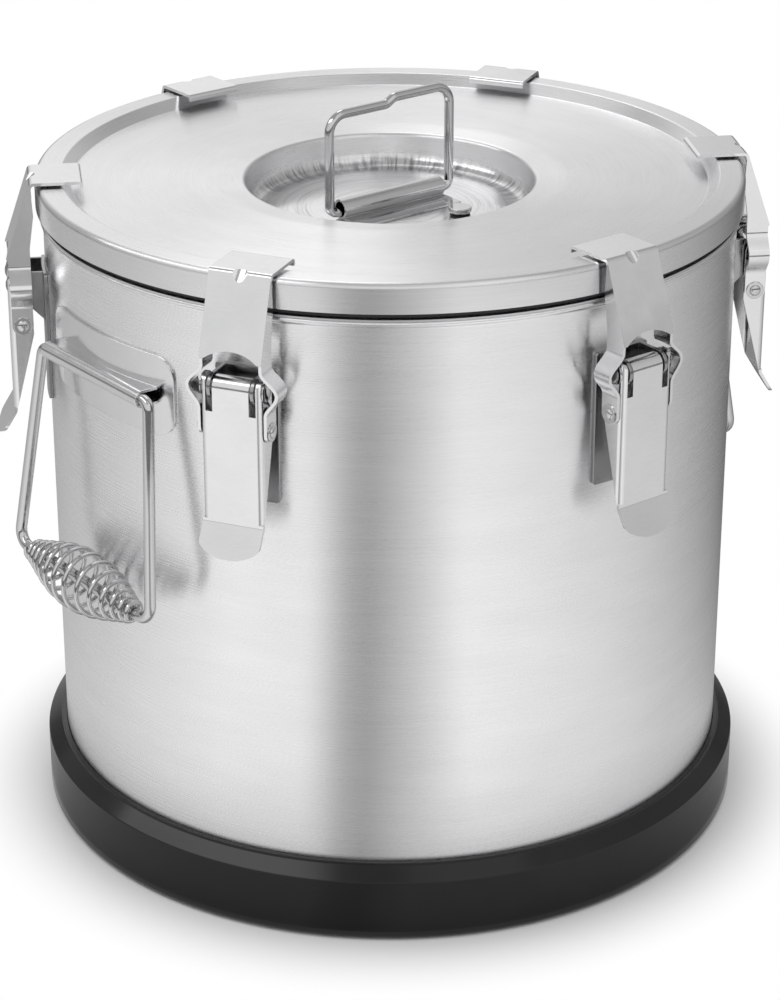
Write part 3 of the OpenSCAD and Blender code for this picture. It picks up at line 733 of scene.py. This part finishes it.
# Sheet pieces of the brackets, latches and hinge clip
for side, _ in SIDES:
    plate = sheet_copy(f"handle_bracket_{side}", latch_steel)
    placed(plate, "container", f"handle_bracket_{side}")
for i in LATCHES:
    for part, body, steel, tab_round in (
        ("latch_base", "container", base_steel, 0.0),
        ("latch_lever", f"lever_{i}", latch_steel, TAB_ROUND),
        ("latch_hook", f"hook_{i}", latch_steel, 0.0),
    ):
        plate = sheet_copy(f"{part}_{i}", steel, tab_round)
        placed(plate, body, f"{part}_{i}")
clip = sheet_copy("lid_handle_clip", bright_steel)
placed(clip, "lid", "lid_handle_clip")


# Pins and rivets: one turned shape, repeated by Geometry Nodes


def pin_outline():
    """A pin about its own axis, in radius and height: shank and two low domed heads."""
    shank, head, inner, outer = 4.0, 5.0, 16.06, 17.06
    edge = 0.35
    half = [
        (shank, inner),
        (head, inner),
        (head, inner + edge),
        (head - edge, inner + 0.62),
        (head * 0.62, outer - 0.1),
        (head * 0.3, outer - 0.02),
        (0.0, outer),
    ]
    return [(r, -h) for r, h in half[::-1]] + half


def rivet_outline():
    """A rivet about its own axis: inner head, shank, flat collar and a dome."""
    foot, shank, collar, dome = 3.75, 2.25, 4.75, 3.1
    foot_low, foot_high, collar_low, top = 12.84, 14.34, 18.16, 20.16
    collar_high = collar_low + 0.65
    dome_h = 1.35
    outline = [
        (0.0, foot_low),
        (foot - 0.45, foot_low),
        (foot, foot_low + 0.4),
        (foot, foot_high),
        (shank, foot_high),
        (shank, collar_low),
        (collar, collar_low),
        (collar, collar_high - 0.2),
        (collar - 0.25, collar_high),
        (dome + 0.35, collar_high),
    ]
    for degrees in range(0, 90, 15):
        out, up = on_circle(1.0, degrees)
        outline.append((dome * out, top - dome_h + dome_h * up))
    return outline + [(0.0, top)]


def on_cross_axis(mesh):
    """The mesh with its own axis turned from upright to crosswise."""
    mesh.transform(Matrix.Rotation(math.radians(-90), 4, "X"))
    return mesh


def ring_tree():
    """A part set out around the axis."""
    tree = ShapeTree("parts_in_a_ring", ["Count", "Radius", "Height", "First"])
    spots = tree.node(
        "GeometryNodeMeshCircle", {}, {"Vertices": tree.given("Count"), "Radius": tree.given("Radius")}
    )
    turn = tree.node("GeometryNodeInputIndex") * (2 * math.pi) / tree.given("Count")
    parts = tree.node("GeometryNodeInstanceOnPoints", {}, {
        "Points": spots,
        "Instance": tree.given("Geometry"),
        "Rotation": tree.vector(0.0, 0.0, turn),
    })
    tree.close(tree.node("GeometryNodeTransform", {}, {
        "Geometry": parts,
        "Translation": tree.vector(0.0, 0.0, tree.given("Height")),
        "Rotation": tree.vector(0.0, 0.0, tree.given("First")),
    }))
    return tree


def pair_tree():
    """A part on both sides of a latch."""
    tree = ShapeTree("parts_in_a_pair", ["Radius", "Height", "Direction"])
    spots = tree.node("GeometryNodeMeshLine", {}, {"Count": 2, "Offset": (0.0, 0.0, 0.0)})
    parts = tree.node("GeometryNodeInstanceOnPoints", {}, {
        "Points": spots,
        "Instance": tree.given("Geometry"),
        "Rotation": tree.vector(tree.node("GeometryNodeInputIndex") * math.pi, 0.0, 0.0),
    })
    moved = tree.node("GeometryNodeTransform", {}, {
        "Geometry": parts,
        "Translation": tree.vector(tree.given("Radius"), 0.0, tree.given("Height")),
    })
    tree.close(tree.node("GeometryNodeTransform", {}, {
        "Geometry": moved,
        "Rotation": tree.vector(0.0, 0.0, tree.given("Direction")),
    }))
    return tree


pins = ring_tree().grow(
    "hinge_pins",
    on_cross_axis(turned(pin_outline(), PIN_STEPS)),
    {"Count": LATCH_COUNT, "Radius": PIN_R * MM, "Height": PIN_Z * MM, "First": LATCH_FIRST},
    bright_steel,
)
smooth(pins.data)
placed(pins, "container", "lever_pins")

rivet_pairs = pair_tree()
for i in LATCHES:
    direction = LATCH_FIRST + (i - 1) * 2 * math.pi / LATCH_COUNT
    rivets = rivet_pairs.grow(
        f"rivet_pair_{i}",
        on_cross_axis(turned(rivet_outline(), PIN_STEPS)),
        {"Radius": RIVET_R * MM, "Height": RIVET_Z * MM, "Direction": direction},
        bright_steel,
    )
    smooth(rivets.data)
    placed(rivets, f"rivets_{i}", f"hook_rivets_{i}")


# Bent wire: the bails and the lid handle follow closed lines


def wire_tree():
    """Round wire along a line of edges."""
    tree = ShapeTree("bent_wire", ["Wire radius", "Sides"])
    line = tree.node("GeometryNodeMeshToCurve", {}, {0: tree.given("Geometry")})
    section = tree.node(
        "GeometryNodeCurvePrimitiveCircle",
        {},
        {"Resolution": tree.given("Sides"), "Radius": tree.given("Wire radius")},
    )
    tree.close(tree.node("GeometryNodeCurveToMesh", {}, {"Curve": line, "Profile Curve": section}))
    return tree


def bail_line(hand):
    """The bail's centre line on one side: -1 left, 1 right."""
    half, top_half = BAIL_W / 2, BAIL_TOP_W / 2
    flat = rounded([
        (-top_half, 0.0, BAIL_TOP_BEND_R),
        (top_half, 0.0, BAIL_TOP_BEND_R),
        (half, -BAIL_DROP, BAIL_BEND_R),
        (-half, -BAIL_DROP, BAIL_BEND_R),
    ], closed=True, steps=WIRE_BEND_STEPS)
    lean = Matrix.Rotation(-BAIL_LEAN, 4, "Y")
    points = [lean @ Vector((0.0, y, z)) for y, z in flat]
    return [(hand * (p.x + BAIL_HINGE_R), p.y, p.z + BAIL_HINGE_Z) for p in points]


def lift_line():
    """The lid handle's centre line, with the step in its top."""
    half = LIFT_W / 2
    low = LIFT_H - LIFT_JOG
    step = LIFT_JOG / 2 / math.tan(LIFT_JOG_SLOPE)
    flat = rounded([
        (-half, 0.0, LIFT_FOOT_R),
        (half, 0.0, LIFT_FOOT_R),
        (half, LIFT_H, LIFT_BEND_R),
        (step, LIFT_H, 2 * LIFT_JOG),
        (-step, low, 2 * LIFT_JOG),
        (-half, low, LIFT_BEND_R),
    ], closed=True, steps=WIRE_BEND_STEPS)
    return [(x, 0.0, z + LIFT_Z) for x, z in flat]


wires = wire_tree()


def bent_wire(name, points, wire_r):
    """One wire handle."""
    sizes = {"Wire radius": wire_r * MM, "Sides": WIRE_SIDES}
    return wires.grow(name, wire_line(points), sizes, bright_steel)


for side, hand in SIDES:
    bail = bent_wire(f"bail_wire_{side}", bail_line(hand), BAIL_WIRE_R)
    placed(bail, f"bail_{side}", f"bail_{side}")
lift = bent_wire("lift_wire", lift_line(), LIFT_WIRE_R)
placed(lift, "lid_handle", "lid_handle")


# Spring grips: one wire wound around the bail's lower bar, wider at its middle


def spring_tree():
    """A barrel of curls with a short straight tail at either end."""
    tree = ShapeTree("barrel_spring", [
        "Length", "End radius", "Middle radius", "Fullness", "Spread", "Curls", "Wire radius", "Hand",
        "Rings", "Side", "Height", "Lean",
    ])
    rings = tree.given("Rings")
    wire = tree.given("Wire radius")
    index = tree.node("GeometryNodeInputIndex")
    along = ((index - 1) / rings).math("MAXIMUM", 0.0).math("MINIMUM", 1.0)
    before = (1 - index).math("MAXIMUM", 0.0)
    behind = (index - rings - 1).math("MAXIMUM", 0.0)
    spread = (along * (2 * math.pi)).math("SINE") * tree.given("Spread") / (2 * math.pi)
    share = along - 0.5 - spread
    swell = (share * math.pi).math("COSINE").math("MAXIMUM", 0.0) ** tree.given("Fullness")
    end_r = tree.given("End radius")
    radius = end_r + (tree.given("Middle radius") - end_r) * swell
    angle = along * tree.given("Curls") * (2 * math.pi)
    tail = (behind - before) * wire * (2.0 / math.hypot(1.0, GRIP_TAIL_SLANT))
    place = tree.vector(
        radius * angle.math("COSINE") * tree.given("Hand"),
        share * tree.given("Length") + tail * GRIP_TAIL_SLANT,
        radius * angle.math("SINE") + tail,
    )
    line = tree.node("GeometryNodeCurvePrimitiveLine")
    fine = tree.node("GeometryNodeResampleCurve", {}, {"Curve": line, "Count": rings + 3})
    wound = tree.node("GeometryNodeSetPosition", {}, {"Geometry": fine, "Position": place})
    section = tree.node(
        "GeometryNodeCurvePrimitiveCircle", {}, {"Resolution": SPRING_SIDES, "Radius": wire}
    )
    tube = tree.node(
        "GeometryNodeCurveToMesh", {}, {"Curve": wound, "Profile Curve": section, "Fill Caps": True}
    )
    tree.close(tree.node("GeometryNodeTransform", {}, {
        "Geometry": tube,
        "Translation": tree.vector(tree.given("Side"), 0.0, tree.given("Height")),
        "Rotation": tree.vector(0.0, tree.given("Lean"), 0.0),
    }))
    return tree


springs = spring_tree()
for side, hand in SIDES:
    grip = springs.grow(f"grip_spring_{side}", bpy.data.meshes.new("spring_start"), {
        "Length": (GRIP_LEN - GRIP_WIRE) * MM,
        "End radius": GRIP_END_R * MM,
        "Middle radius": GRIP_MID_R * MM,
        "Fullness": GRIP_FULLNESS,
        "Spread": GRIP_SPREAD,
        "Curls": GRIP_CURLS,
        "Wire radius": GRIP_WIRE / 2 * MM,
        "Hand": hand,
        "Rings": GRIP_CURLS * SPRING_RINGS,
        "Side": hand * (BAIL_HINGE_R + BAIL_DROP * math.sin(BAIL_LEAN)) * MM,
        "Height": (BAIL_HINGE_Z - BAIL_DROP * math.cos(BAIL_LEAN)) * MM,
        "Lean": -hand * BAIL_LEAN,
    }, bright_steel)
    smooth(grip.data)
    placed(grip, f"grip_{side}", f"spring_grip_{side}")


# Studio, in metres: pale floor, a grey cloth for the steel to mirror, soft lights, camera
CAMERA_SIDE = math.radians(232)
CAMERA_REACH = 1.48
CAMERA_HEIGHT = 0.8235
CAMERA_PITCH = 24.1
CAMERA_LENS = 106.3
CAMERA_SENSOR = 36.0
LAMP_AIM = Vector((0.0, 0.0, 0.15))
AMBIENT = 0.78
WHITE = (1.0, 1.0, 1.0, 1.0)
PAPER = (0.92, 0.92, 0.92, 1.0)
CLOTH_GREY = (0.01, 0.01, 0.01, 1.0)

FLOOR_R = 6.0
FLOOR_Z = -0.0003
SHADE_END_R = 0.19
WHITE_START_R = 0.245

# The cloth's section, in reach and height: over the floor, up and in to its top
CLOTH_R = 1.5
CLOTH_FLOOR_Z = 0.004
CLOTH_TOP = 2.1
CLOTH_SECTION = [
    (0.194, CLOTH_FLOOR_Z), (0.7, CLOTH_FLOOR_Z), (CLOTH_R, CLOTH_FLOOR_Z),
    (CLOTH_R, 0.5), (CLOTH_R, 1.0), (CLOTH_R, 1.5), (0.8, 2.0), (0.0, CLOTH_TOP),
]
CLOTH_STEPS = 72
# Between these heights the cloth changes from its low stops to its high stops
CLOTH_LOW_Z = 0.25
CLOTH_HIGH_Z = 0.75
# How dense it is at the least next to the base ring, and where that ends: painted shade, darker cloth
# standing in for the floor's shadow that the ring mirrors
RING_SHADE = 0.45
RING_SHADE_R = 0.24
RING_SHADE_END_R = 0.31
# How dense it is at the least, by its height as a share of the top
HEIGHT_STOPS = [(0.04, 0.0), (0.07, 0.8), (0.2, 0.8), (0.27, 0.0), (0.74, 0.0), (0.8, 0.5), (1.0, 0.55)]
# How much white it lets through, by degrees from the camera's side
LOW_STOPS = [
    (-180, 0.25), (-150, 0.42), (-90, 0.66), (-44, 1.0), (-22, 0.96), (-12, 0.44), (-6, 0.34),
    (6, 0.62), (20, 1.0), (60, 0.8), (90, 0.58), (145, 0.12), (180, 0.25),
]
HIGH_STOPS = [
    (-180, 0.97), (-160, 0.95), (-130, 0.42), (-100, 0.46), (-60, 0.8), (0, 0.95), (40, 0.92),
    (70, 0.6), (140, 0.35), (160, 0.55), (180, 0.97),
]


def round_the_table(degrees, reach, height):
    """A point at an angle from the camera's side, seen from above."""
    a = CAMERA_SIDE + math.radians(degrees)
    return (reach * math.cos(a), reach * math.sin(a), height)


def seen_by_eye(maker):
    """1 for rays from the camera and for mirrored and refracted ones."""
    straight = maker.node("ShaderNodeLightPath", output="Is Camera Ray")
    mirrored = straight.beside("Is Glossy Ray")
    refracted = straight.beside("Is Transmission Ray")
    return straight.math("MAXIMUM", mirrored).math("MAXIMUM", refracted)


def floor_finish():
    """Pale paper that keeps the shadow near the part and is white further out."""
    material = bare_material("floor_paper")
    maker = NodeMaker(material.node_tree)
    x, y, _ = maker.split(maker.place())
    far = maker.eased((x * x + y * y).math("SQRT"), SHADE_END_R, WHITE_START_R)
    paper = maker.node("ShaderNodeBsdfDiffuse", {}, {"Color": PAPER})
    both = maker.either(far * seen_by_eye(maker), paper, maker.glow(WHITE))
    maker.end("ShaderNodeOutputMaterial", "Surface", both)
    return material


def cloth_finish():
    """Thin grey cloth: how dense it is changes with the direction and with the height."""
    material = bare_material("scrim_cloth")
    maker = NodeMaker(material.node_tree)
    x, y, z = maker.split(maker.place())
    side = math.cos(CAMERA_SIDE), math.sin(CAMERA_SIDE)
    ahead = x * side[0] + y * side[1]
    aside = y * side[0] - x * side[1]
    turn = aside.math("ARCTAN2", ahead) / (2 * math.pi) + 0.5
    low, high = (
        maker.ramp(turn, [((degrees + 180) / 360, 1 - white) for degrees, white in stops])
        for stops in (LOW_STOPS, HIGH_STOPS)
    )
    raised = maker.eased(z, CLOTH_LOW_Z, CLOTH_HIGH_Z)
    strip = maker.ramp(z / CLOTH_TOP, HEIGHT_STOPS)
    reach = (x * x + y * y).math("SQRT")
    # Painted shade: the cloth darkens next to the ring in place of the floor's shadow
    near = maker.eased(reach, RING_SHADE_R, RING_SHADE_END_R, RING_SHADE, 0.0)
    dense = (low * (1 - raised) + high * raised).math("MAXIMUM", strip).math("MAXIMUM", near)
    both = maker.either(dense, maker.node("ShaderNodeBsdfTransparent"), maker.glow(CLOTH_GREY))
    maker.end("ShaderNodeOutputMaterial", "Surface", both)
    return material


def floor_mesh():
    mesh = bpy.data.meshes.new("floor")
    corners = [(*on_circle(FLOOR_R, degrees), FLOOR_Z) for degrees in range(0, 360, 5)]
    mesh.from_pydata(corners, [], [tuple(range(len(corners)))])
    return mesh


def cloth_mesh():
    corners, faces = [], []
    count = len(CLOTH_SECTION)
    for k in range(CLOTH_STEPS):
        corners += [round_the_table(360 * k / CLOTH_STEPS, r, z) for r, z in CLOTH_SECTION]
        here, there = k * count, (k + 1) % CLOTH_STEPS * count
        for j in range(count - 1):
            faces.append((here + j, here + j + 1, there + j + 1, there + j))
    mesh = bpy.data.meshes.new("scrim")
    mesh.from_pydata(corners, [], faces)
    return mesh


def soft_light(name, degrees, reach, height, width, tall, power, roll=0.0):
    """A lamp panel round the table, turned to the part."""
    lamp = bpy.data.lights.new(name, "AREA")
    lamp.shape = "RECTANGLE"
    lamp.size = width
    lamp.size_y = tall
    lamp.energy = power
    obj = new_object(name, lamp)
    obj.location = round_the_table(degrees, reach, height)
    obj.rotation_euler = (LAMP_AIM - obj.location).to_track_quat("-Z", "Y").to_euler()
    obj.rotation_euler.rotate_axis("Z", math.radians(roll))


floor = new_object("floor", floor_mesh())
coat(floor, floor_finish())

# Only mirrored rays meet the cloth
scrim = new_object("scrim", cloth_mesh())
coat(scrim, cloth_finish())
scrim.visible_camera = False
scrim.visible_diffuse = False
scrim.visible_shadow = False

soft_light("light_left", degrees=-76, reach=0.88, height=1.25, width=1.5, tall=0.35, power=3.0, roll=25.0)
soft_light("light_right", degrees=40, reach=1.1, height=2.1, width=1.0, tall=1.0, power=2.5)
soft_light("light_back", degrees=-168, reach=1.0, height=1.6, width=0.5, tall=0.9, power=1.9)

world = bpy.data.worlds.new("studio")
bpy.context.scene.world = world
world.use_nodes = True
world.node_tree.nodes.clear()
sky = NodeMaker(world.node_tree)
room = sky.node("ShaderNodeBackground", {}, {"Color": WHITE, "Strength": AMBIENT})
backdrop = sky.node("ShaderNodeBackground", {}, {"Color": WHITE, "Strength": 1.0})
sky.end("ShaderNodeOutputWorld", "Surface", sky.either(seen_by_eye(sky), room, backdrop))

camera_data = bpy.data.cameras.new("camera")
camera_data.lens = CAMERA_LENS
camera_data.sensor_width = CAMERA_SENSOR
camera = new_object("camera", camera_data)
camera.location = round_the_table(0.0, CAMERA_REACH, CAMERA_HEIGHT)
camera.rotation_euler = (math.radians(90 - CAMERA_PITCH), 0.0, CAMERA_SIDE + math.radians(90))
bpy.context.scene.camera = camera
bpy.context.scene.view_settings.view_transform = "Standard"
